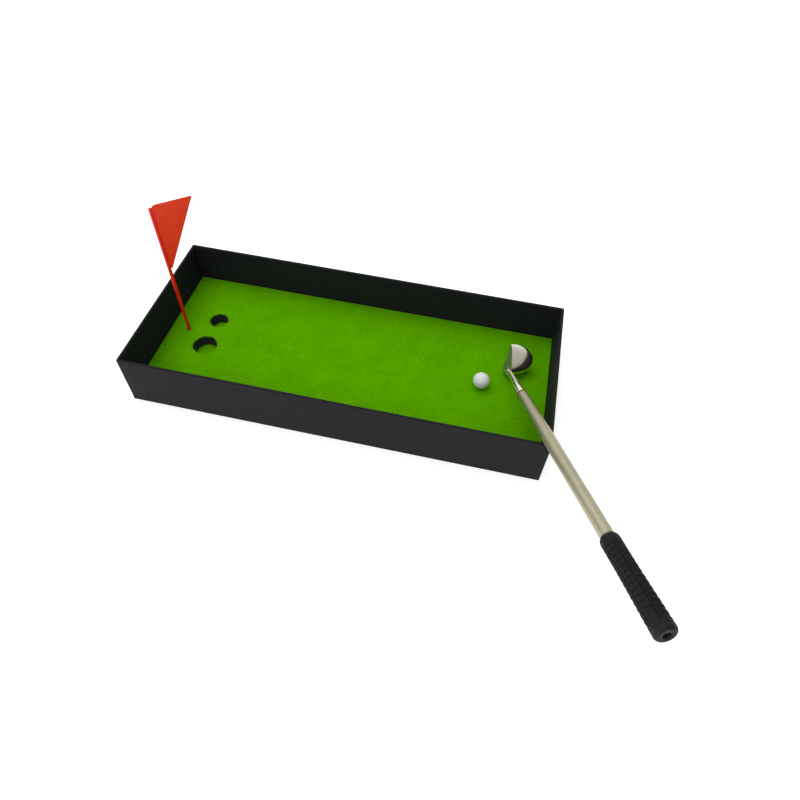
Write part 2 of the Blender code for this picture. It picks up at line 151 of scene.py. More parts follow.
def startGroup(name, inputs, outputs):
    group = bpy.data.node_groups.new(name, "ShaderNodeTree")
    for label, kind, value in inputs:
        socket = group.interface.new_socket(name=label, in_out="INPUT", socket_type=kind)
        if value is not None:
            socket.default_value = value
    for label, kind in outputs:
        group.interface.new_socket(name=label, in_out="OUTPUT", socket_type=kind)
    return group, group.nodes.new("NodeGroupInput"), group.nodes.new("NodeGroupOutput")


def makeToneGroup():
    # a colour that drifts a little over the surface
    group, start, end = startGroup(
        "driftingTone",
        [
            ("Light", "NodeSocketColor", None),
            ("Dark", "NodeSocketColor", None),
            ("Scale", "NodeSocketFloat", 100.0),
        ],
        [("Colour", "NodeSocketColor"), ("Mask", "NodeSocketFloat")],
    )
    place = addNode(group, "ShaderNodeTexCoord")
    clouds = addNode(group, "ShaderNodeTexNoise", in_Detail=5.0, in_Roughness=0.6)
    spread = addNode(group, "ShaderNodeMapRange", in_From_Min=0.3, in_From_Max=0.7)
    blend = addNode(group, "ShaderNodeMix", data_type="RGBA")
    group.links.new(place.outputs["Object"], clouds.inputs["Vector"])
    group.links.new(start.outputs["Scale"], clouds.inputs["Scale"])
    group.links.new(clouds.outputs["Fac"], spread.inputs["Value"])
    group.links.new(spread.outputs["Result"], blend.inputs["Factor"])
    group.links.new(start.outputs["Dark"], blend.inputs["A"])
    group.links.new(start.outputs["Light"], blend.inputs["B"])
    group.links.new(blend.outputs["Result"], end.inputs["Colour"])
    group.links.new(spread.outputs["Result"], end.inputs["Mask"])
    return group


def makeGrainGroup():
    # height of a fine grain, such as moulded rubber, foam or fibre
    group, start, end = startGroup(
        "fineGrain",
        [("Scale", "NodeSocketFloat", 4000.0), ("Coarse", "NodeSocketFloat", 900.0)],
        [("Height", "NodeSocketFloat")],
    )
    place = addNode(group, "ShaderNodeTexCoord")
    fine = addNode(group, "ShaderNodeTexNoise", in_Detail=3.0)
    coarse = addNode(group, "ShaderNodeTexNoise", in_Detail=4.0)
    total = addNode(group, "ShaderNodeMath", operation="ADD")
    group.links.new(place.outputs["Object"], fine.inputs["Vector"])
    group.links.new(place.outputs["Object"], coarse.inputs["Vector"])
    group.links.new(start.outputs["Scale"], fine.inputs["Scale"])
    group.links.new(start.outputs["Coarse"], coarse.inputs["Scale"])
    group.links.new(fine.outputs["Fac"], total.inputs[0])
    group.links.new(coarse.outputs["Fac"], total.inputs[1])
    group.links.new(total.outputs["Value"], end.inputs["Height"])
    return group


def makeSpeckGroup():
    # sparse small specks of lint or dust
    group, start, end = startGroup(
        "lintSpecks",
        [
            ("Scale", "NodeSocketFloat", 300.0),
            ("Size", "NodeSocketFloat", 0.1),
            ("Share", "NodeSocketFloat", 0.1),
        ],
        [("Mask", "NodeSocketFloat")],
    )
    place = addNode(group, "ShaderNodeTexCoord")
    cells = addNode(group, "ShaderNodeTexVoronoi", in_Randomness=1.0)
    near = addNode(group, "ShaderNodeMath", operation="LESS_THAN")
    split = addNode(group, "ShaderNodeSeparateColor")
    chosen = addNode(group, "ShaderNodeMath", operation="LESS_THAN")
    both = addNode(group, "ShaderNodeMath", operation="MULTIPLY")
    group.links.new(place.outputs["Object"], cells.inputs["Vector"])
    group.links.new(start.outputs["Scale"], cells.inputs["Scale"])
    group.links.new(cells.outputs["Distance"], near.inputs[0])
    group.links.new(start.outputs["Size"], near.inputs[1])
    group.links.new(cells.outputs["Color"], split.inputs["Color"])
    group.links.new(split.outputs["Red"], chosen.inputs[0])
    group.links.new(start.outputs["Share"], chosen.inputs[1])
    group.links.new(near.outputs["Value"], both.inputs[0])
    group.links.new(chosen.outputs["Value"], both.inputs[1])
    group.links.new(both.outputs["Value"], end.inputs["Mask"])
    return group


def makeLinenGroup():
    # crossing threads pressed into book cloth paper, on upright and level faces alike
    group, start, end = startGroup(
        "linenThreads",
        [("Threads", "NodeSocketFloat", 1400.0), ("Waver", "NodeSocketFloat", 2.0)],
        [("Height", "NodeSocketFloat"), ("Mask", "NodeSocketFloat")],
    )
    place = addNode(group, "ShaderNodeTexCoord")
    split = addNode(group, "ShaderNodeSeparateXYZ")
    along = addNode(group, "ShaderNodeMath", operation="ADD")
    flatWay = addNode(group, "ShaderNodeCombineXYZ")
    group.links.new(place.outputs["Object"], split.inputs["Vector"])
    group.links.new(split.outputs["X"], along.inputs[0])
    group.links.new(split.outputs["Y"], along.inputs[1])
    group.links.new(along.outputs["Value"], flatWay.inputs["X"])
    group.links.new(split.outputs["Z"], flatWay.inputs["Y"])
    threads = []
    for way in ("X", "Y"):
        wave = addNode(group, "ShaderNodeTexWave", bands_direction=way, in_Detail=2.0)
        group.links.new(flatWay.outputs["Vector"], wave.inputs["Vector"])
        group.links.new(start.outputs["Threads"], wave.inputs["Scale"])
        group.links.new(start.outputs["Waver"], wave.inputs["Distortion"])
        threads.append(wave)
    total = addNode(group, "ShaderNodeMath", operation="ADD")
    clouds = addNode(group, "ShaderNodeTexNoise", in_Scale=2500.0, in_Detail=3.0)
    group.links.new(place.outputs["Object"], clouds.inputs["Vector"])
    group.links.new(threads[0].outputs["Fac"], total.inputs[0])
    group.links.new(threads[1].outputs["Fac"], total.inputs[1])
    total2 = addNode(group, "ShaderNodeMath", operation="ADD")
    group.links.new(total.outputs["Value"], total2.inputs[0])
    group.links.new(clouds.outputs["Fac"], total2.inputs[1])
    group.links.new(total2.outputs["Value"], end.inputs["Height"])
    group.links.new(threads[1].outputs["Fac"], end.inputs["Mask"])
    return group


toneGroup = makeToneGroup()
grainGroup = makeGrainGroup()
speckGroup = makeSpeckGroup()
linenGroup = makeLinenGroup()


def useGroup(tree, group, **values):
    node = tree.nodes.new("ShaderNodeGroup")
    node.node_tree = group
    for key, value in values.items():
        node.inputs[key].default_value = value
    return node


def startMaterial(name, roughness, metallic=0.0):
    made = bpy.data.materials.new(name)
    made.use_nodes = True
    tree = made.node_tree
    shader = tree.nodes["Principled BSDF"]
    shader.inputs["Roughness"].default_value = roughness
    shader.inputs["Metallic"].default_value = metallic
    return made, tree, shader


def colourWith(tree, shader, light, dark, scale):
    tone = useGroup(tree, toneGroup, Light=(*light, 1), Dark=(*dark, 1), Scale=scale)
    tree.links.new(tone.outputs["Colour"], shader.inputs["Base Color"])
    return tone


def bumpWith(tree, shader, height, strength, distance):
    bump = addNode(tree, "ShaderNodeBump", in_Strength=strength, in_Distance=distance)
    tree.links.new(height, bump.inputs["Height"])
    tree.links.new(bump.outputs["Normal"], shader.inputs["Normal"])


def roughnessWith(tree, shader, mask, low, high):
    spread = addNode(tree, "ShaderNodeMapRange", in_To_Min=low, in_To_Max=high)
    tree.links.new(mask, spread.inputs["Value"])
    tree.links.new(spread.outputs["Result"], shader.inputs["Roughness"])


def makeCoverPaper():
    paper, tree, shader = startMaterial("coverPaper", 0.7)
    shader.inputs["Specular IOR Level"].default_value = 0.12
    tone = colourWith(tree, shader, (0.0150, 0.0153, 0.0184), (0.0112, 0.0114, 0.0139), 160.0)
    threads = useGroup(tree, linenGroup, Threads=900.0, Waver=2.5)
    bumpWith(tree, shader, threads.outputs["Height"], 0.35, 0.00006)
    roughnessWith(tree, shader, tone.outputs["Mask"], 0.6, 0.75)
    return paper


def makeFelt(name, light, dark):
    felt, tree, shader = startMaterial(name, 0.95)
    shader.inputs["Specular IOR Level"].default_value = 0.0
    broad = useGroup(tree, toneGroup, Light=(*light, 1), Dark=(*dark, 1), Scale=120.0)
    fine = useGroup(
        tree, toneGroup, Light=(1.34, 1.26, 1.0, 1), Dark=(0.56, 0.66, 0.8, 1), Scale=1500.0
    )
    blend = addNode(tree, "ShaderNodeMix", data_type="RGBA", blend_type="MULTIPLY")
    blend.inputs["Factor"].default_value = 1.0
    tree.links.new(broad.outputs["Colour"], blend.inputs["A"])
    tree.links.new(fine.outputs["Colour"], blend.inputs["B"])
    lint = useGroup(tree, speckGroup, Scale=420.0, Size=0.09, Share=0.05)
    dusted = addNode(tree, "ShaderNodeMix", data_type="RGBA")
    dusted.inputs["B"].default_value = (0.30, 0.42, 0.18, 1)
    tree.links.new(lint.outputs["Mask"], dusted.inputs["Factor"])
    tree.links.new(blend.outputs["Result"], dusted.inputs["A"])
    tree.links.new(dusted.outputs["Result"], shader.inputs["Base Color"])
    grain = useGroup(tree, grainGroup, Scale=5200.0, Coarse=1100.0)
    bumpWith(tree, shader, grain.outputs["Height"], 0.7, 0.00012)
    return felt


def makeFoam():
    foam, tree, shader = startMaterial("cupFoam", 0.9)
    colourWith(tree, shader, (0.014, 0.016, 0.015), (0.006, 0.008, 0.007), 900.0)
    cells = addNode(tree, "ShaderNodeTexVoronoi", in_Scale=3800.0)
    place = addNode(tree, "ShaderNodeTexCoord")
    tree.links.new(place.outputs["Object"], cells.inputs["Vector"])
    bumpWith(tree, shader, cells.outputs["Distance"], 0.5, 0.0001)
    return foam


def makeRedPlastic(name, light, dark):
    red, tree, shader = startMaterial(name, 0.38)
    shader.inputs["Specular IOR Level"].default_value = 0.25
    shader.inputs["Subsurface Weight"].default_value = 0.08
    shader.inputs["Subsurface Radius"].default_value = (0.002, 0.0004, 0.0002)
    tone = colourWith(tree, shader, light, dark, 220.0)
    grain = useGroup(tree, grainGroup, Scale=2600.0, Coarse=500.0)
    bumpWith(tree, shader, grain.outputs["Height"], 0.12, 0.00004)
    roughnessWith(tree, shader, tone.outputs["Mask"], 0.33, 0.45)
    return red


def makeBallPlastic():
    white, tree, shader = startMaterial("ballPlastic", 0.42)
    shader.inputs["Subsurface Weight"].default_value = 0.15
    shader.inputs["Subsurface Radius"].default_value = (0.0006, 0.0006, 0.0007)
    tone = colourWith(tree, shader, (0.74, 0.75, 0.76), (0.67, 0.68, 0.69), 700.0)
    grain = useGroup(tree, grainGroup, Scale=5000.0, Coarse=1200.0)
    bumpWith(tree, shader, grain.outputs["Height"], 0.15, 0.00004)
    roughnessWith(tree, shader, tone.outputs["Mask"], 0.36, 0.5)
    return white


def makeSatinMetal(name, light, dark, low, high, scale=600.0, bump=0.02):
    metal, tree, shader = startMaterial(name, 0.3, 1.0)
    tone = colourWith(tree, shader, light, dark, scale)
    roughnessWith(tree, shader, tone.outputs["Mask"], low, high)
    grain = useGroup(tree, grainGroup, Scale=6000.0, Coarse=1500.0)
    bumpWith(tree, shader, grain.outputs["Height"], bump, 0.00001)
    return metal


def makeBrushedMetal():
    # champagne anodised tube, with fine turning lines round it
    metal, tree, shader = startMaterial("barrelMetal", 0.46, 1.0)
    tone = colourWith(tree, shader, (0.475, 0.445, 0.315), (0.43, 0.402, 0.28), 300.0)
    roughnessWith(tree, shader, tone.outputs["Mask"], 0.44, 0.5)
    place = addNode(tree, "ShaderNodeTexCoord")
    stretch = addNode(tree, "ShaderNodeMapping")
    stretch.inputs["Scale"].default_value = (120.0, 120.0, 5200.0)
    lines = addNode(tree, "ShaderNodeTexNoise", in_Scale=1.0, in_Detail=3.0)
    tree.links.new(place.outputs["Object"], stretch.inputs["Vector"])
    tree.links.new(stretch.outputs["Vector"], lines.inputs["Vector"])
    bumpWith(tree, shader, lines.outputs["Fac"], 0.08, 0.00002)
    return metal


def makeKnurledFace():
    # club face: crossing cut lines in satin nickel, with painted shade darkening the colour along the lines
    metal, tree, shader = startMaterial("knurledFace", 0.4, 1.0)
    tone = colourWith(tree, shader, (0.98, 0.96, 0.86), (0.72, 0.70, 0.58), 900.0)
    roughnessWith(tree, shader, tone.outputs["Mask"], 0.24, 0.36)
    place = addNode(tree, "ShaderNodeTexCoord")
    heights = []
    for turn in (math.radians(50), math.radians(-50)):
        tilt = addNode(tree, "ShaderNodeMapping")
        tilt.inputs["Rotation"].default_value = (0, turn, 0)
        lines = addNode(tree, "ShaderNodeTexWave", bands_direction="X", in_Scale=250.0, in_Distortion=0.3)
        tree.links.new(place.outputs["Object"], tilt.inputs["Vector"])
        tree.links.new(tilt.outputs["Vector"], lines.inputs["Vector"])
        heights.append(lines.outputs["Fac"])
    total = addNode(tree, "ShaderNodeMath", operation="MULTIPLY")
    tree.links.new(heights[0], total.inputs[0])
    tree.links.new(heights[1], total.inputs[1])
    bumpWith(tree, shader, total.outputs["Value"], 1.0, 0.0002)
    # painted shade: the colour goes dark along the cut lines, as if the grooves were shaded
    cut = addNode(tree, "ShaderNodeMix", data_type="RGBA")
    cut.inputs["A"].default_value = (0.30, 0.30, 0.24, 1)
    tree.links.new(total.outputs["Value"], cut.inputs["Factor"])
    tree.links.new(tone.outputs["Colour"], cut.inputs["B"])
    tree.links.new(cut.outputs["Result"], shader.inputs["Base Color"])
    return metal


def makeRubber(name, light, dark, low, high):
    rubber, tree, shader = startMaterial(name, 0.6)
    shader.inputs["Specular IOR Level"].default_value = 0.18
    tone = colourWith(tree, shader, light, dark, 500.0)
    grain = useGroup(tree, grainGroup, Scale=5200.0, Coarse=1500.0)
    bumpWith(tree, shader, grain.outputs["Height"], 0.3, 0.00005)
    roughnessWith(tree, shader, tone.outputs["Mask"], low, high)
    return rubber


def makeGreyboard():
    board, tree, shader = startMaterial("greyboardCore", 0.9)
    colourWith(tree, shader, (0.34, 0.31, 0.26), (0.25, 0.225, 0.19), 700.0)
    grain = useGroup(tree, grainGroup, Scale=3600.0, Coarse=700.0)
    bumpWith(tree, shader, grain.outputs["Height"], 0.5, 0.00008)
    return board


def makeKraftTape():
    tape, tree, shader = startMaterial("gummedTape", 0.75)
    colourWith(tree, shader, (0.40, 0.27, 0.14), (0.32, 0.21, 0.10), 420.0)
    grain = useGroup(tree, grainGroup, Scale=3000.0, Coarse=400.0)
    bumpWith(tree, shader, grain.outputs["Height"], 0.3, 0.00004)
    return tape


def makeNylon(name, light, dark):
    nylon, tree, shader = startMaterial(name, 0.45)
    shader.inputs["Subsurface Weight"].default_value = 0.1
    shader.inputs["Subsurface Radius"].default_value = (0.0006, 0.0006, 0.0005)
    colourWith(tree, shader, light, dark, 900.0)
    grain = useGroup(tree, grainGroup, Scale=4200.0, Coarse=900.0)
    bumpWith(tree, shader, grain.outputs["Height"], 0.15, 0.00003)
    return nylon


coverPaper = makeCoverPaper()
greenFelt = makeFelt("greenFelt", (0.112, 0.405, 0.0004), (0.090, 0.345, 0.0003))
feltFibre = makeFelt("feltFibre", (0.24, 0.60, 0.006), (0.14, 0.42, 0.002))
cupFoam = makeFoam()
flagRed = makeRedPlastic("flagRed", (0.86, 0.047, 0.008), (0.78, 0.035, 0.005))
poleRed = makeRedPlastic("poleRed", (0.88, 0.016, 0.003), (0.78, 0.012, 0.002))
ballPlastic = makeBallPlastic()
satinNickel = makeSatinMetal("satinNickel", (1.0, 0.96, 0.81), (0.98, 0.93, 0.77), 0.15, 0.2, bump=0.0)
knurledFace = makeKnurledFace()
barrelMetal = makeBrushedMetal()
ringBlack = makeRubber("ringBlack", (0.02, 0.018, 0.018), (0.012, 0.010, 0.010), 0.25, 0.35)
ringRed = makeRedPlastic("ringRed", (0.45, 0.025, 0.02), (0.36, 0.018, 0.016))
gripRubber = makeRubber("gripRubber", (0.0072, 0.0075, 0.0100), (0.0052, 0.0054, 0.0076), 0.5, 0.66)
# painted shade: a darker copy of the grip rubber, put on the faces in the deep grooves so they look shaded
grooveShadeRubber = makeRubber("grooveShadeRubber", (0.0022, 0.0023, 0.0032), (0.0014, 0.0015, 0.0022), 0.7, 0.8)
capRubber = makeRubber("capRubber", (0.0095, 0.0112, 0.0125), (0.0078, 0.0092, 0.0104), 0.45, 0.58)
brassTurned = makeSatinMetal("brassTurned", (0.78, 0.58, 0.26), (0.68, 0.49, 0.20), 0.22, 0.35)
tipSteel = makeSatinMetal("tipSteel", (0.66, 0.65, 0.62), (0.58, 0.57, 0.54), 0.18, 0.28)
whiteNylon = makeNylon("whiteNylon", (0.78, 0.78, 0.73), (0.70, 0.70, 0.65))
inkTube = makeNylon("inkTube", (0.10, 0.12, 0.32), (0.06, 0.07, 0.22))
greyboardCore = makeGreyboard()
gummedTape = makeKraftTape()
print("materials made")

keptNodes = {
    "base_sheet": coverPaper,
    "floor_board": greyboardCore,
    "front_wall_board": greyboardCore,
    "rear_wall_board": greyboardCore,
    "left_wall_board": greyboardCore,
    "right_wall_board": greyboardCore,
    "front_left_corner_stay": gummedTape,
    "front_right_corner_stay": gummedTape,
    "rear_left_corner_stay": gummedTape,
    "rear_right_corner_stay": gummedTape,
    "cam_housing": whiteNylon,
    "rotor_tube": brassTurned,
    "refill_carrier": whiteNylon,
    "refill_tube": inkTube,
    "grip_core": barrelMetal,
}
for name, material in keptNodes.items():
    for slot in nodes[name].material_slots:
        slot.material = material

# tray cover: paper over the walls, with a soft rim and a turned-in edge

trayLow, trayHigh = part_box("outer_wrap")
trayCover = {
    "wall": 0.00125,  # whole thickness of a wall, paper to paper
    "paper": 0.00015,
    "cornerRadius": 0.0009,
    "rimRadius": 0.00042,
    "seamDrop": 0.0013,  # how far under the rim the faint crease runs
    "seamDepth": 0.00005,
    "cornerSteps": 8,
    "sideSteps": 40,
}


def makeTrayCover():
    wall = trayCover["wall"]
    paper = trayCover["paper"]
    rim = trayCover["rimRadius"]
    top = trayHigh.z
    low = trayLow.z
    crease = top - trayCover["seamDrop"]
    depth = trayCover["seamDepth"]
    profile = [(0, low), (0, low + 0.0006), (0, crease - 0.0004), (depth, crease)]
    profile += [(0.2 * depth, crease + 0.00015), (0, crease + 0.0004)]
    for i in range(7):
        turn = math.radians(15 * i)
        profile.append((rim - rim * math.cos(turn), top - rim + rim * math.sin(turn)))
    for i in range(7):
        turn = math.radians(90 - 15 * i)
        profile.append((wall - rim + rim * math.cos(turn), top - rim + rim * math.sin(turn)))
    profile += [(wall, top - 0.004), (wall, low + 0.001), (wall, low)]
    profile += [(wall - paper, low), (wall - paper, top - paper - rim)]
    profile += [(wall - paper - 0.5 * rim, top - paper - 0.1 * rim)]
    profile += [(paper + 0.5 * rim, top - paper - 0.1 * rim), (paper, top - paper - rim), (paper, low)]
    verts, rows = [], []
    for inset, height in profile:
        radius = max(trayCover["cornerRadius"] - inset, 0.00012)
        path = roundedPath(
            trayHigh.x - inset, trayHigh.y - inset, radius, trayCover["cornerSteps"], trayCover["sideSteps"]
        )
        rows.append(list(range(len(verts), len(verts) + len(path))))
        verts.extend((x, y, height) for x, y in path)
    piece = meshPiece("trayCover", verts, skinRows(rows), coverPaper)
    piece.data.set_sharp_from_angle(angle=math.radians(50))
    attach(piece, "tray")
    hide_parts("outer_wrap")


makeTrayCover()
print("tray cover made")

# green: felt over a foam bed, with cups

feltLow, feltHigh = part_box("top_felt")
underLow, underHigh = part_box("under_felt")
foamLow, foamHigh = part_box("foam_bed")
green = {
    "cup": (-0.0681, -0.0061, 0.0056),  # x, y, radius
    "smallCup": (-0.0679, 0.0101, 0.0044),
    "poleHole": (-0.0793, 0.0016, 0.00085),
    "softEdge": 0.00012,
    "roundUnder": 0.002,  # a hole smaller than this stays round, clear of the pole
    "taper": 0.001,  # how much narrower a cup is at the bottom
    "holeSteps": 72,
    "cupFelt": 0.00012,
    "fibres": 5200,
    "fibreLength": 0.00075,
    "fibreWidth": 0.00005,
    "edgeFibres": 1500,
    "cupFibreShare": 90000,  # fibres round a cup, per metre of its radius
}


def slabWithHoles(name, low, high, holes, edge, material, wobble=0.0):
    # flat outline with round holes, given its thickness and softened edges
    curve = bpy.data.curves.new(name, "CURVE")
    curve.dimensions = "2D"
    curve.fill_mode = "BOTH"
    curve.extrude = (high.z - low.z) / 2 - edge
    curve.bevel_depth = edge
    curve.bevel_resolution = 2
    curve.offset = -edge
    outlines = [roundedPath(high.x, high.y, 0.0004, 4, 30)]
    for x, y, radius in holes:
        ring = []
        waver = wobble if radius > green["roundUnder"] else 0
        for i in range(green["holeSteps"]):
            turn = -2 * math.pi * i / green["holeSteps"]
            reach = radius + waver * (noise.noise((60 * x + 3 * math.cos(turn), 3 * math.sin(turn), y)))
            ring.append((x + reach * math.cos(turn), y + reach * math.sin(turn)))
        outlines.append(ring)
    for outline in outlines:
        line = curve.splines.new("POLY")
        line.points.add(len(outline) - 1)
        for point, (x, y) in zip(line.points, outline):
            point.co = (x, y, 0, 1)
        line.use_cyclic_u = True
    draft = bpy.data.objects.new(name + "Draft", curve)
    bpy.context.scene.collection.objects.link(draft)
    bpy.context.view_layer.update()
    ready = draft.evaluated_get(bpy.context.evaluated_depsgraph_get())
    mesh = bpy.data.meshes.new_from_object(ready)
    bpy.data.objects.remove(draft)
    work = bmesh.new()
    work.from_mesh(mesh)
    bmesh.ops.remove_doubles(work, verts=work.verts, dist=1e-6)
    bmesh.ops.translate(work, verts=work.verts, vec=(0, 0, (low.z + high.z) / 2))
    piece = bmeshPiece(name, work, material)
    piece.data.set_sharp_from_angle(angle=math.radians(60))
    return piece


def makeGreen():
    holes = [green["cup"], green["smallCup"], green["poleHole"]]
    felt = slabWithHoles("puttingFelt", feltLow, feltHigh, holes, green["softEdge"], greenFelt, 0.00025)
    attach(felt, "tray")
    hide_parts("top_felt")
    thin = Vector((underHigh.x, underHigh.y, underLow.z + green["cupFelt"]))
    under = slabWithHoles("cupFelt", underLow, thin, [], 0.00003, greenFelt)
    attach(under, "tray")
    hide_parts("under_felt")
    foam = slabWithHoles("foamBed", foamLow, foamHigh, holes, 0.00012, cupFoam, 0.00012)
    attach(foam, "tray")
    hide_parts("foam_bed")
    for vert in foam.data.vertices:
        for x, y, radius in holes[:2]:
            away = Vector((vert.co.x - x, vert.co.y - y))
            if away.length < radius + 0.0005 and vert.co.z < foamLow.z + 0.0005:
                vert.co.x -= away.x / away.length * green["taper"]
                vert.co.y -= away.y / away.length * green["taper"]
    fuzz = makeFibres(holes)
    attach(fuzz, "tray")


def makeFibres(holes):
    # short loose fibres: thick along the cut edges, sparse over the green
    verts, faces = [], []
    spots = []
    for x, y, radius in holes[:2]:
        for i in range(int(radius * green["cupFibreShare"])):
            turn = dice.uniform(0, 2 * math.pi)
            reach = radius + dice.uniform(0.00005, 0.0005)
            spots.append((x + reach * math.cos(turn), y + reach * math.sin(turn), 1.0))
    for i in range(green["edgeFibres"]):
        along = dice.uniform(-1, 1)
        side = dice.choice((-1, 1))
        inset = dice.uniform(0.0001, 0.0009)
        if dice.random() < feltHigh.x / (feltHigh.x + feltHigh.y):
            spots.append((along * (feltHigh.x - inset), side * (feltHigh.y - inset), 1.0))
        else:
            spots.append((side * (feltHigh.x - inset), along * (feltHigh.y - inset), 1.0))
    while len(spots) < green["fibres"]:
        x = dice.uniform(-1, 1) * (feltHigh.x - 0.001)
        y = dice.uniform(-1, 1) * (feltHigh.y - 0.001)
        if all(math.hypot(x - hx, y - hy) > radius + 0.0003 for hx, hy, radius in holes):
            spots.append((x, y, 0.75))
    top = feltHigh.z
    for x, y, size in spots:
        heading = dice.uniform(0, 2 * math.pi)
        length = green["fibreLength"] * size * dice.uniform(0.5, 1.2)
        rise = 0.00006 + 0.00010 * dice.random()
        wide = green["fibreWidth"] / 2
        bend = dice.uniform(-0.6, 0.6)
        limitX = feltHigh.x - 0.0001
        limitY = feltHigh.y - 0.0001
        px, py = x, y
        ends = []
        for k, height in enumerate((0.0, rise, 0.3 * rise)):
            side = Vector((-math.sin(heading), math.cos(heading), 0)) * wide
            px = max(-limitX, min(limitX, px))
            py = max(-limitY, min(limitY, py))
            spot = Vector((px, py, top - 0.00002 + height))
            ends.append((spot - side, spot + side))
            px += 0.5 * length * math.cos(heading)
            py += 0.5 * length * math.sin(heading)
            heading += bend
        base = len(verts)
        for one, other in ends:
            verts.extend((tuple(one), tuple(other)))
        faces.append((base, base + 1, base + 3, base + 2))
        faces.append((base + 2, base + 3, base + 5, base + 4))
    return meshPiece("feltFibres", verts, faces, feltFibre)


makeGreen()
print("green made")

flagJoint = joints["flag_lift"]
flag = {
    "foot": (-0.0793, 0.0016),
    "heading": math.radians(40),
    "poleRadius": 0.00075,
    "poleTop": 0.0722,
    "reach": 0.0164,
    "low": 0.0424,
    "high": 0.0733,
    "corner": 0.0012,
    "footReach": 0.0014,
    "root": 0.00035,
    "thickness": 0.0004,
    "edge": 0.00012,
}


def makeFlag():
    lean = Vector((0, 0, 1)).rotation_difference(Vector(flagJoint["axis"])).to_matrix().to_4x4()
    place = Matrix.Translation((*flag["foot"], 0)) @ lean @ Matrix.Rotation(flag["heading"], 4, "Z")
    r = flag["poleRadius"]
    top = flag["poleTop"]
    foot = foamLow.z + 0.00005
    profile = [(0, top), (0.55 * r, top), (0.82 * r, top - 0.08 * r)]
    profile += [(0.96 * r, top - 0.25 * r), (r, top - 0.5 * r)]
    profile += [(r, top - 0.01 * i) for i in range(1, 6)]
    profile += [(r, foot + 0.3 * r), (0.7 * r, foot), (0, foot)]
    pole = lathe("flagPole", profile, poleRed, 32, place)
    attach(pole, "flag")
    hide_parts("flag_pole")
    outline = [
        (flag["root"], flag["low"]),
        (flag["footReach"], flag["low"]),
        (flag["reach"], flag["high"] - flag["thickness"]),
        (flag["reach"] - 0.1 * flag["thickness"], flag["high"]),
        (flag["root"] + flag["corner"], flag["high"]),
        (flag["root"], flag["high"] - flag["corner"]),
    ]
    half = flag["thickness"] / 2
    verts = [(x, side * half, z) for side in (-1, 1) for x, z in outline]
    count = len(outline)
    faces = [tuple(range(count)), tuple(reversed(range(count, 2 * count)))]
    faces += [(i, i + count, (i + 1) % count + count, (i + 1) % count) for i in range(count)]
    pennant = meshPiece("pennant", verts, faces, flagRed)
    soft = pennant.modifiers.new("softEdges", "BEVEL")
    soft.width = flag["edge"]
    soft.segments = 3
    pennant.data.set_sharp_from_angle(angle=math.radians(30))
    pennant.matrix_world = place
    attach(pennant, "flag")
    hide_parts("flag_pennant")


makeFlag()
print("flag made")

ball = {"dimples": 132, "dimpleSize": 0.00042, "dimpleDepth": 0.00004, "detail": 6}


def makeBall():
    low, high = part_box("ball")
    centre = (low + high) / 2
    radius = (high.z - low.z) / 2
    work = bmesh.new()
    bmesh.ops.create_icosphere(work, subdivisions=ball["detail"], radius=radius)
    golden = math.pi * (3 - math.sqrt(5))
    pits = []
    for i in range(ball["dimples"]):
        z = 1 - 2 * (i + 0.5) / ball["dimples"]
        flat = math.sqrt(1 - z * z)
        pits.append(Vector((flat * math.cos(golden * i), flat * math.sin(golden * i), z)))
    for vert in work.verts:
        away = vert.co.normalized()
        near = max(away.dot(pit) for pit in pits)
        apart = radius * math.acos(min(1, near)) / ball["dimpleSize"]
        if apart < 1:
            vert.co -= away * ball["dimpleDepth"] * (1 - apart * apart) ** 2
    piece = bmeshPiece("puttingBall", work, ballPlastic)
    piece.location = centre
    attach(piece, "ball")
    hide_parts("ball")


makeBall()
print("ball made")

# pen: lengths run from the ferrule's middle towards the butt

twist = joints["grip_twist"]
penAxis = Vector(twist["axis"]).normalized()
penStart = Vector(twist["pos_m"])
pen = {
    "headRoll": math.radians(170),
    "ferruleHalf": 0.00035,
    "barrelStart": 0.00045,
    "barrelEnd": 0.08105,
    "footRadius": 0.00215,
    "radius": 0.002475,
    "flareLength": 0.033,
    "wallThickness": 0.0004,
    "bore": 0.0013,
    "gripEnd": 0.11095,
    "buttEnd": 0.11675,
}


def penPlace():
    slope = math.asin(penAxis.z)
    heading = math.atan2(penAxis.y, penAxis.x)
    turn = Matrix.Rotation(heading, 4, "Z") @ Matrix.Rotation(math.pi / 2 - slope, 4, "Y")
    return Matrix.Translation(penStart) @ turn @ Matrix.Rotation(pen["headRoll"], 4, "Z")


penMatrix = penPlace()

head = {
    "lie": math.radians(57),
    "loft": math.radians(10),
    "length": 0.0142,
    "depth": 0.0110,
    "height": 0.0078,
    "squareness": 4,
    "toeOffset": 0.0063,
    "setback": 0.0013,
    "drop": 0.0006,
    "soleRise": math.radians(31),
    "soleRiseStart": 0.005,
    "edge": 0.0009,
    "hoselLength": 0.0172,
    "hoselFoot": 0.00115,
    "hoselFlare": 0.00122,
    "hoselTop": 0.00192,
    "flareLength": 0.0014,
    "spigot": 0.00155,
}


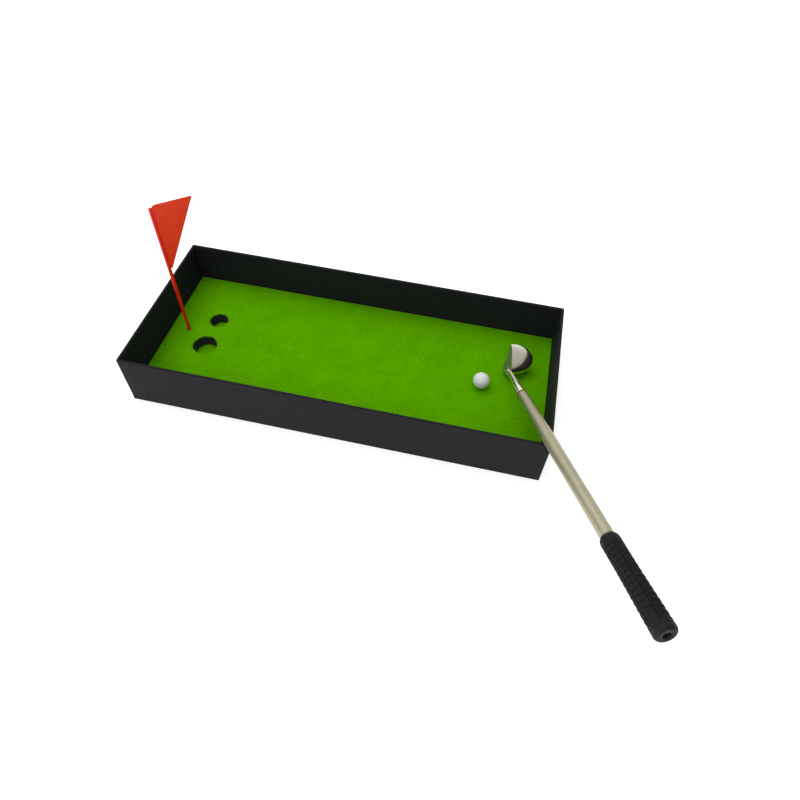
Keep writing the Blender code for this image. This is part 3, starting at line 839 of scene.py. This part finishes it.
def makeHead():
    toe = Vector((math.sin(head["lie"]), 0, -math.cos(head["lie"])))
    crown = Vector((math.cos(head["lie"]), 0, math.sin(head["lie"])))
    face = Vector((0, 1, 0))
    half = head["height"] / 2
    work = bmesh.new()
    bmesh.ops.create_uvsphere(work, u_segments=44, v_segments=28, radius=1.0)
    for vert in work.verts:
        flat = math.hypot(vert.co.x, vert.co.y)
        power = head["squareness"]
        vert.co *= (flat**power + abs(vert.co.z) ** power) ** (-1 / power)
    bmesh.ops.scale(work, vec=(head["length"] / 2, head["depth"], half), verts=work.verts)
    flats = (
        ((0, 0, half), (0, math.cos(head["loft"]), math.sin(head["loft"])), 1),
        (
            (-head["soleRiseStart"], 0, -half),
            (math.sin(head["soleRise"]), 0, -math.cos(head["soleRise"])),
            0,
        ),
    )
    for point, away, slotIndex in flats:
        every = work.verts[:] + work.edges[:] + work.faces[:]
        bmesh.ops.bisect_plane(
            work, geom=every, dist=1e-7, plane_co=point, plane_no=away, clear_outer=True
        )
        rim = [edge for edge in work.edges if edge.is_boundary]
        made = bmesh.ops.edgeloop_fill(work, edges=rim)
        for new in made["faces"]:
            new.material_index = slotIndex
    shell = bmeshPiece("clubHead", work, satinNickel)
    shell.data.materials.append(knurledFace)
    foot = Vector((0, 0, -head["hoselLength"]))
    centre = foot + toe * head["toeOffset"] - face * head["setback"] - crown * (head["drop"] + half)
    axes = Matrix((toe, face, crown)).transposed().to_4x4()
    shell.matrix_world = penMatrix @ Matrix.Translation(centre) @ axes
    soft = shell.modifiers.new("softEdges", "BEVEL")
    soft.width = head["edge"]
    soft.segments = 3
    soft.limit_method = "ANGLE"
    soft.angle_limit = math.radians(35)
    finer = shell.modifiers.new("finer", "SUBSURF")
    finer.levels = 2
    finer.render_levels = 2
    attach(shell, "pen")
    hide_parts("club_head")
    end = -head["hoselLength"]
    flareEnd = end - head["flareLength"]
    profile = [(0, 0.008), (head["spigot"] - 0.0001, 0.008), (head["spigot"], 0.0079)]
    profile += [(head["spigot"], -pen["ferruleHalf"] - 0.00006)]
    profile += [(head["hoselTop"] - 0.00008, -pen["ferruleHalf"] - 0.00006)]
    profile += [(head["hoselTop"], -pen["ferruleHalf"] - 0.00014)]
    for i in range(1, 9):
        share = i / 8
        ease = share * share * (3 - 2 * share)
        width = head["hoselTop"] + (head["hoselFoot"] - head["hoselTop"]) * ease
        profile.append((width, -pen["ferruleHalf"] + share * (end + pen["ferruleHalf"])))
    profile += [(0.5 * (head["hoselFoot"] + head["hoselFlare"]) - 0.00004, end - 0.55 * head["flareLength"])]
    profile += [(head["hoselFlare"], flareEnd)]
    for i in range(1, 7):
        turn = math.radians(15 * i)
        profile.append((head["hoselFlare"] * math.cos(turn), flareEnd - head["hoselFlare"] * math.sin(turn)))
    profile[-1] = (0, profile[-1][1])
    hosel = lathe("hosel", profile, satinNickel, 48, penMatrix)
    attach(hosel, "pen")


makeHead()
print("club head made")


def makeFerrule():
    half = pen["ferruleHalf"]
    outer = pen["footRadius"]
    bore = head["spigot"] + 0.0001
    bands = {
        "ferruleBlack": (half, 0.1 * half, ringBlack, outer),
        "ferruleRed": (0.1 * half, -half, ringRed, outer - 0.00008),
    }
    for name, (high, low, material, radius) in bands.items():
        soft = 0.00005
        profile = [(bore, high), (radius - soft, high), (radius, high - soft), (radius, low + soft)]
        profile += [(radius - soft, low), (bore, low)]
        ring = lathe(name, profile, material, 48, penMatrix, closed=True)
        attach(ring, "pen")
    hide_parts("ferrule_ring")


def makeBarrel():
    start = pen["barrelStart"]
    end = pen["barrelEnd"]
    flare = start + pen["flareLength"]
    wall = pen["wallThickness"]
    radius = pen["radius"]
    outer = [(radius - 0.00006, end), (radius, end - 0.00006)]
    outer += [(radius, end + (flare - end) * i / 8) for i in range(1, 9)]
    for i in range(1, 9):
        share = i / 8
        ease = share * share * (3 - 2 * share)
        outer.append((radius + (pen["footRadius"] - radius) * ease, flare + (start - flare) * share))
    outer[-1] = (outer[-1][0], outer[-1][1] + 0.00006)
    outer.append((pen["footRadius"] - 0.00006, start))
    inner = [(pen["footRadius"] - wall, start), (radius - wall, flare), (radius - wall, end)]
    barrel = lathe("penBarrel", outer + inner, barrelMetal, 72, penMatrix, closed=True)
    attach(barrel, "pen")
    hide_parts("shaft_tube")


makeFerrule()
makeBarrel()
print("barrel made")

# grip: ribbed rubber sleeve and cap

grip = {
    "start": 0.08165,
    "collar": 0.00268,
    "front": 0.00333,
    "butt": 0.0036,
    "shoulder": 0.0019,
    "plainStart": 0.0026,  # smooth length next to the collar
    "plainEnd": 0.0006,  # smooth length before the cap's seam
    "lastRung": 0.1095,
    "pitch": 0.0021,  # rung to rung
    "rungDepth": 0.00016,
    "ladderTurn": math.radians(53),
    "ladderWidth": math.radians(25),
    "hatchPitch": 0.00085,
    "hatchDepth": 0.00009,
    "scallopDepth": 0.00016,
    "scallopGrowth": 0.018,  # length over which the scallops reach full depth
    "rungWidth": 0.09,
    "hatchWidth": 0.16,
    "hatchSlant": 0.0034,
    "railWidth": math.radians(4),
    "fadeIn": 0.0015,
    "fadeOut": 0.001,
    "around": 192,
    "along": 300,
}


cap = {
    "edge": 0.0013,
    "socketDepth": 0.003,
    "boreLip": 0.00015,
    "groove": 0.00012,
    "start": 0.11101,
    "seamPlace": 0.11485,
    "sideRows": 40,
}


def gripRadius(length):
    past = length - grip["start"]
    share = past / (pen["gripEnd"] - grip["start"])
    full = grip["front"] + (grip["butt"] - grip["front"]) * max(0, (share - 0.35) / 0.65) ** 1.2
    if past < grip["shoulder"]:
        drop = 1 - past / grip["shoulder"]
        return grip["collar"] + (full - grip["collar"]) * math.sqrt(max(0, 1 - drop**2.4))
    return full


def nearLine(phase, width):
    # 1 on each whole number of the phase, falling off to either side
    return math.exp(-(((phase + 0.5) % 1 - 0.5) / width) ** 2)


def ribCut(length, turn):
    past = length - grip["start"]
    left = cap["seamPlace"] - length
    fadeIn = min(1, max(0, (past - grip["plainStart"]) / grip["fadeIn"]))
    fadeOut = min(1, max(0, (left - grip["plainEnd"]) / grip["fadeOut"]))
    fade = fadeIn * fadeOut
    beat = past / grip["pitch"]
    side = abs((turn - grip["ladderTurn"] + math.pi) % (2 * math.pi) - math.pi)
    side = min(side, math.pi - side)  # a second ladder runs opposite the first
    rail = math.exp(-(((side - grip["ladderWidth"]) / grip["railWidth"]) ** 2))
    if side < grip["ladderWidth"]:
        rung = nearLine(beat, grip["rungWidth"]) if length < grip["lastRung"] else 0
        return fade * grip["rungDepth"] * max(rail, rung)
    slant = side * grip["hatchSlant"] / grip["hatchPitch"]
    row = past / grip["hatchPitch"]
    lines = max(nearLine(row + slant, grip["hatchWidth"]), nearLine(row - slant, grip["hatchWidth"]))
    growth = min(1, past / grip["scallopGrowth"])
    wave = 0.5 - 0.5 * math.cos(2 * math.pi * beat)
    scallop = grip["scallopDepth"] * growth * wave * math.sin(side) ** 4
    return fade * (max(grip["hatchDepth"] * lines, grip["rungDepth"] * rail) + scallop)


def ribbedShell(name, profile, slots, pickSlot):
    # a turned ring whose outer rows, marked True, carry the pattern
    around = grip["around"]
    verts, rows, deep = [], [], set()
    for radius, length, patterned in profile:
        rows.append(list(range(len(verts), len(verts) + around)))
        for i in range(around):
            turn = 2 * math.pi * i / around
            cut = ribCut(length, turn) if patterned else 0
            if cut > 0.55 * grip["hatchDepth"]:
                deep.add(len(verts))
            verts.append(((radius - cut) * math.cos(turn), (radius - cut) * math.sin(turn), length))
    piece = meshPiece(name, verts, skinRows(rows), slots[0])
    for extra in slots[1:]:
        piece.data.materials.append(extra)
    # faces in the deep grooves take the darker rubber, which paints shade into the grooves
    for face in piece.data.polygons:
        sunk = sum(vert in deep for vert in face.vertices) > 2
        face.material_index = pickSlot(face.center.z, sunk)
    piece.data.set_sharp_from_angle(angle=math.radians(60))
    piece.matrix_world = penMatrix
    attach(piece, "grip")
    return piece


def makeGrip():
    bore = pen["radius"] + 0.0001
    turns = [math.radians(9 * i) for i in range(21)]
    lengths = [grip["start"] + grip["shoulder"] * (1 - math.cos(turn)) * 0.5 for turn in turns]
    past = lengths[-1]
    lengths += [past + (pen["gripEnd"] - past) * (i + 1) / grip["along"] for i in range(grip["along"])]
    profile = [(gripRadius(length), length, True) for length in lengths]
    profile += [(bore, pen["gripEnd"], False), (bore, grip["start"], False)]
    sleeve = ribbedShell("ribbedGrip", profile, (gripRubber, grooveShadeRubber), lambda z, sunk: int(sunk))
    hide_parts("rubber_grip")


def makeCap():
    end = pen["buttEnd"]
    seam = cap["seamPlace"]
    radius = grip["butt"]
    edge = cap["edge"]
    lip = cap["boreLip"]
    socket = pen["radius"] + 0.0001
    side = seam - 0.00012 - cap["start"]
    profile = [(radius, cap["start"] + side * i / cap["sideRows"], True) for i in range(cap["sideRows"] + 1)]
    profile += [(radius - cap["groove"], seam, False), (radius, seam + 0.00012, False)]
    for i in range(10):
        turn = math.radians(10 * i)
        profile.append((radius - edge + edge * math.cos(turn), end - edge + edge * math.sin(turn), False))
    profile += [(pen["bore"] + lip, end - 0.00002, False), (pen["bore"], end - lip, False)]
    profile += [(pen["bore"], end - cap["socketDepth"], False), (socket, end - cap["socketDepth"], False)]
    profile += [(socket, cap["start"], False)]
    piece = ribbedShell(
        "gripCap",
        profile,
        (capRubber, gripRubber, grooveShadeRubber),
        lambda z, sunk: (2 if sunk else 1) if z < seam else 0,
    )
    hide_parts("grip_end_cap")


tip = {"end": 0.11525, "length": 0.0095, "radius": 0.0011, "point": 0.00035, "peg": 0.0007}


def makeTip():
    end = tip["end"]
    cone = end - 0.6 * tip["length"]
    start = end - tip["length"]
    profile = [(0, end), (0.12 * tip["point"], end)]
    profile += [(0.7 * tip["point"], end - 0.0001), (0.8 * tip["point"], end - 0.0003)]
    profile += [(tip["point"], end - 0.0005), (1.25 * tip["point"], end - 0.0014)]
    profile += [(0.62 * tip["radius"], end - 0.0030)]
    profile += [(0.85 * tip["radius"], end - 0.0046), (tip["radius"], cone), (tip["radius"], start + 0.0001)]
    profile += [(tip["radius"] - 0.0001, start), (tip["peg"], start)]
    profile += [(tip["peg"], start - 0.002), (0, start - 0.002)]
    piece = lathe("writingTip", profile, tipSteel, 48, penMatrix)
    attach(piece, "refill")
    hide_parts("refill_tip")


makeGrip()
makeCap()
makeTip()
print("grip made")

# stage: pale floor, soft light, camera

studio = {
    "floorSize": 3.0,
    "skyBrightWay": (-0.5, 0.75, 0.43),
    "skyDark": 0.35,
    "skyBright": 1.25,
    "skyStrength": 0.68,
    "cameraPlace": (0.0557, -0.1787, 0.2211),
    "cameraAim": (0.0249, -0.0114, 0.0),
    "cameraRoll": math.radians(2.677),
    "lens": 28.22,
}


def makeFloor():
    paper, tree, shader = startMaterial("studioFloor", 0.7)
    colourWith(tree, shader, (0.86, 0.86, 0.86), (0.84, 0.84, 0.84), 12.0)
    shader.inputs["Emission Color"].default_value = (1, 1, 1, 1)
    shader.inputs["Emission Strength"].default_value = 0.55
    half = studio["floorSize"] / 2
    verts = [(-half, -half, 0), (half, -half, 0), (half, half, 0), (-half, half, 0)]
    floor = meshPiece("studioFloor", verts, [(0, 1, 2, 3)], paper, smooth=False)
    floor.location.z = -0.00002


def makeLights():
    world = bpy.data.worlds.new("studioSky")
    bpy.context.scene.world = world
    world.use_nodes = True
    tree = world.node_tree
    sky = tree.nodes["Background"]
    sky.inputs["Strength"].default_value = studio["skyStrength"]
    place = addNode(tree, "ShaderNodeTexCoord")
    facing = addNode(tree, "ShaderNodeVectorMath", operation="DOT_PRODUCT")
    facing.inputs[1].default_value = studio["skyBrightWay"]
    fade = addNode(tree, "ShaderNodeMapRange", in_From_Min=-0.6, in_From_Max=0.8)
    fade.inputs["To Min"].default_value = studio["skyDark"]
    fade.inputs["To Max"].default_value = studio["skyBright"]
    tree.links.new(place.outputs["Generated"], facing.inputs[0])
    tree.links.new(facing.outputs["Value"], fade.inputs["Value"])
    tree.links.new(fade.outputs["Result"], sky.inputs["Color"])
    lamps = {
        "overheadSoftbox": ((-0.3, 0.15, 0.9), (0.0, 0.0, 0.0), 0.8, 3.6),
        "frontSoftbox": ((-0.15, -0.9, 0.6), (0.0, 0.0, 0.03), 0.6, 2.6),
    }
    for name, (place, aim, size, power) in lamps.items():
        lamp = bpy.data.lights.new(name, "AREA")
        lamp.size = size
        lamp.energy = power
        made = bpy.data.objects.new(name, lamp)
        bpy.context.scene.collection.objects.link(made)
        made.location = place
        made.rotation_euler = (Vector(aim) - Vector(place)).to_track_quat("-Z", "Y").to_euler()


def makeCamera():
    lens = bpy.data.cameras.new("viewCamera")
    lens.lens = studio["lens"]
    lens.sensor_width = 36
    lens.clip_start = 0.01
    camera = bpy.data.objects.new("viewCamera", lens)
    bpy.context.scene.collection.objects.link(camera)
    place = Vector(studio["cameraPlace"])
    ahead = (Vector(studio["cameraAim"]) - place).normalized()
    right = ahead.cross(Vector((0, 0, 1))).normalized()
    down = ahead.cross(right).normalized()
    c, s = math.cos(studio["cameraRoll"]), math.sin(studio["cameraRoll"])
    rolledRight = c * right - s * down
    rolledDown = s * right + c * down
    axes = Matrix((rolledRight, -rolledDown, -ahead)).transposed().to_4x4()
    camera.matrix_world = Matrix.Translation(place) @ axes
    bpy.context.scene.camera = camera
    bpy.context.scene.view_settings.view_transform = "Standard"


makeFloor()
makeLights()
makeCamera()
print("stage made")
